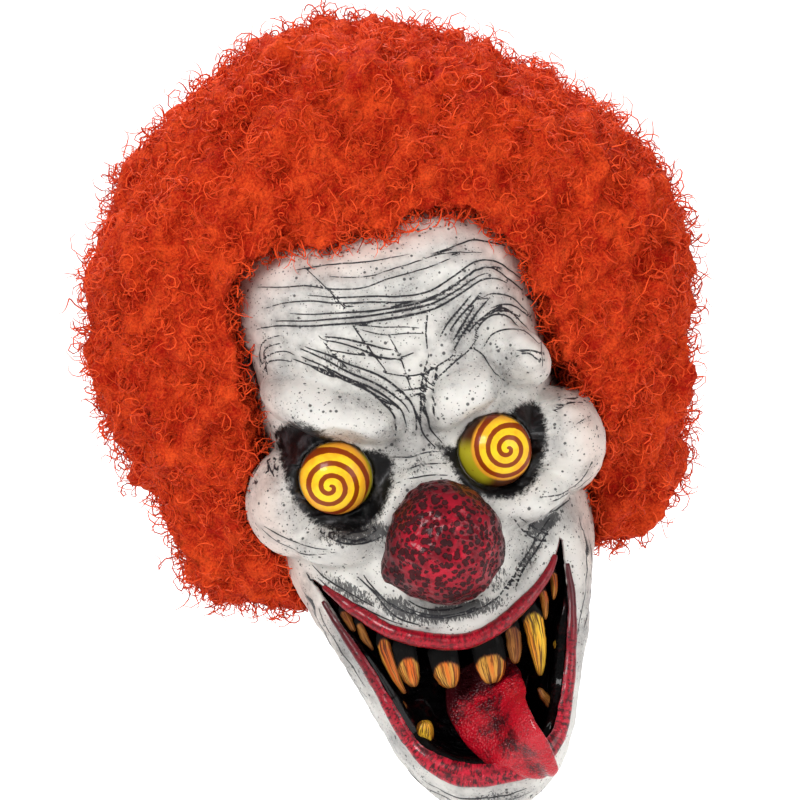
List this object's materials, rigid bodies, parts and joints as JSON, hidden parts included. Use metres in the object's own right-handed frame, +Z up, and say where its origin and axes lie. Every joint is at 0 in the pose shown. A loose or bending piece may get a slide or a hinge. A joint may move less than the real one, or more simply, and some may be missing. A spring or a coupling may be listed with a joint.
{
  "type": "clown mask",
  "caption": "Overhead clown mask: hollow latex head with domed spiral eyes, dimpled ball nose, wide toothed mouth, tongue and curly wig.",
  "frame": {"origin": "inside of the crown, where the mask sits on top of the wearer's head", "axes": "+Z up along the wearer's neck, face towards -Y, +X to the right of somebody looking at the face"},
  "size_m": [0.3597, 0.3238, 0.4542],
  "materials": {
    "latex": "white latex with dark ink worked into its folds and speckled over it",
    "eye_gloss": "glossy yellow with a brown spiral and a greenish rim",
    "nose_gloss": "dark red latex with dimples and brighter ridges, satin",
    "lip_gloss": "glossy red latex",
    "mouth_black": "glossy black latex with dark red gums",
    "tongue_gloss": "wet glossy red latex",
    "tooth_enamel": "glossy amber with brown streaks",
    "curls": "tight orange-red synthetic curls"
  },
  "bodies": {
    "root": {"latex_head": "latex", "eye_left": "eye_gloss", "eye_right": "eye_gloss", "nose": "nose_gloss", "upper_lip": "lip_gloss", "lower_lip": "lip_gloss", "mouth_lining": "mouth_black", "tongue": "tongue_gloss", "upper_tooth_1": "tooth_enamel", "upper_tooth_2": "tooth_enamel", "upper_tooth_3": "tooth_enamel", "upper_tooth_4": "tooth_enamel", "upper_tooth_5": "tooth_enamel", "upper_tooth_6": "tooth_enamel", "upper_tooth_7": "tooth_enamel", "upper_tooth_8": "tooth_enamel", "upper_tooth_9": "tooth_enamel", "upper_tooth_10": "tooth_enamel", "lower_tooth_1": "tooth_enamel", "lower_tooth_2": "tooth_enamel", "lower_tooth_3": "tooth_enamel", "lower_tooth_4": "tooth_enamel", "hair": "curls"}
  },
  "joints": []
}
